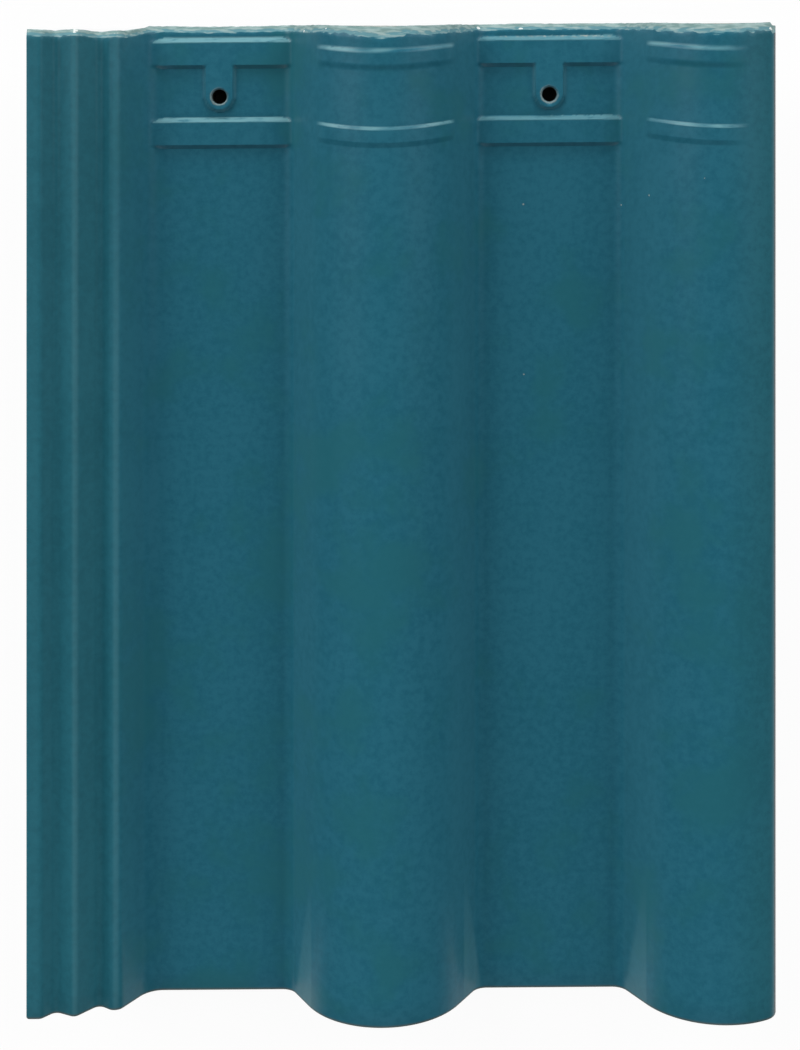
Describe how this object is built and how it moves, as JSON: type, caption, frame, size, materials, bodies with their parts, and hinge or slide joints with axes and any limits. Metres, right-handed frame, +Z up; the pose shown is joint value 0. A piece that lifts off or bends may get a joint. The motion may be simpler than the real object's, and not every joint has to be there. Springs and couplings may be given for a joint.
{
  "type": "roof tile",
  "caption": "Interlocking rolled roof tile with flat pans, a ribbed side lock, weather bars and nail holes at the head, and hanging nibs underneath.",
  "frame": {"origin": "middle of the tile's width and length, on the plane through the undersides of the nibs and nose ribs, on which it lies", "axes": "+X across the tile from the lock to the overlapping edge, +Y along the rolls to the head, +Z up out of the weather face"},
  "size_m": [0.33, 0.442, 0.0561],
  "materials": {
    "glazed_clay": "satin teal glaze, bare grey body at the head edge and hole rims"
  },
  "bodies": {
    "root": {"tile": "glazed_clay"}
  },
  "joints": []
}
